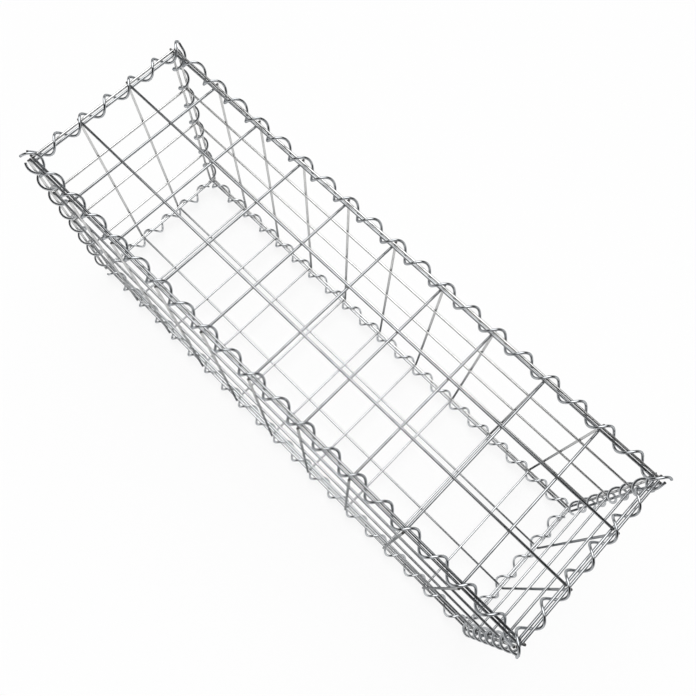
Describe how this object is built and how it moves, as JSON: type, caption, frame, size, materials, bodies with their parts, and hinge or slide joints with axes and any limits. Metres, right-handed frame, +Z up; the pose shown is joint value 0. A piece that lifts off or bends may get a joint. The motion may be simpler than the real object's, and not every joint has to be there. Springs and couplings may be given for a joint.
{
  "type": "gabion basket",
  "caption": "Rectangular welded wire mesh cage with a flat lid, laced along every edge with spiral wire binders, for holding stone fill.",
  "frame": {"origin": "on the ground, under the middle of the basket", "axes": "+X along the basket, +Y across it towards the back side, +Z up"},
  "size_m": [1.0336, 0.3284, 0.4348],
  "materials": {
    "mesh": "bright zinc coating",
    "spiral": "bright zinc coating"
  },
  "bodies": {
    "root": {"lid": "mesh", "base": "mesh", "back_side": "mesh", "front_side": "mesh", "right_end": "mesh", "left_end": "mesh", "top_front_binder": "spiral", "top_back_binder": "spiral", "base_front_binder": "spiral", "base_back_binder": "spiral", "top_left_binder": "spiral", "top_right_binder": "spiral", "base_left_binder": "spiral", "base_right_binder": "spiral", "front_left_binder": "spiral", "back_left_binder": "spiral", "back_right_binder": "spiral", "front_right_binder": "spiral"}
  },
  "joints": []
}
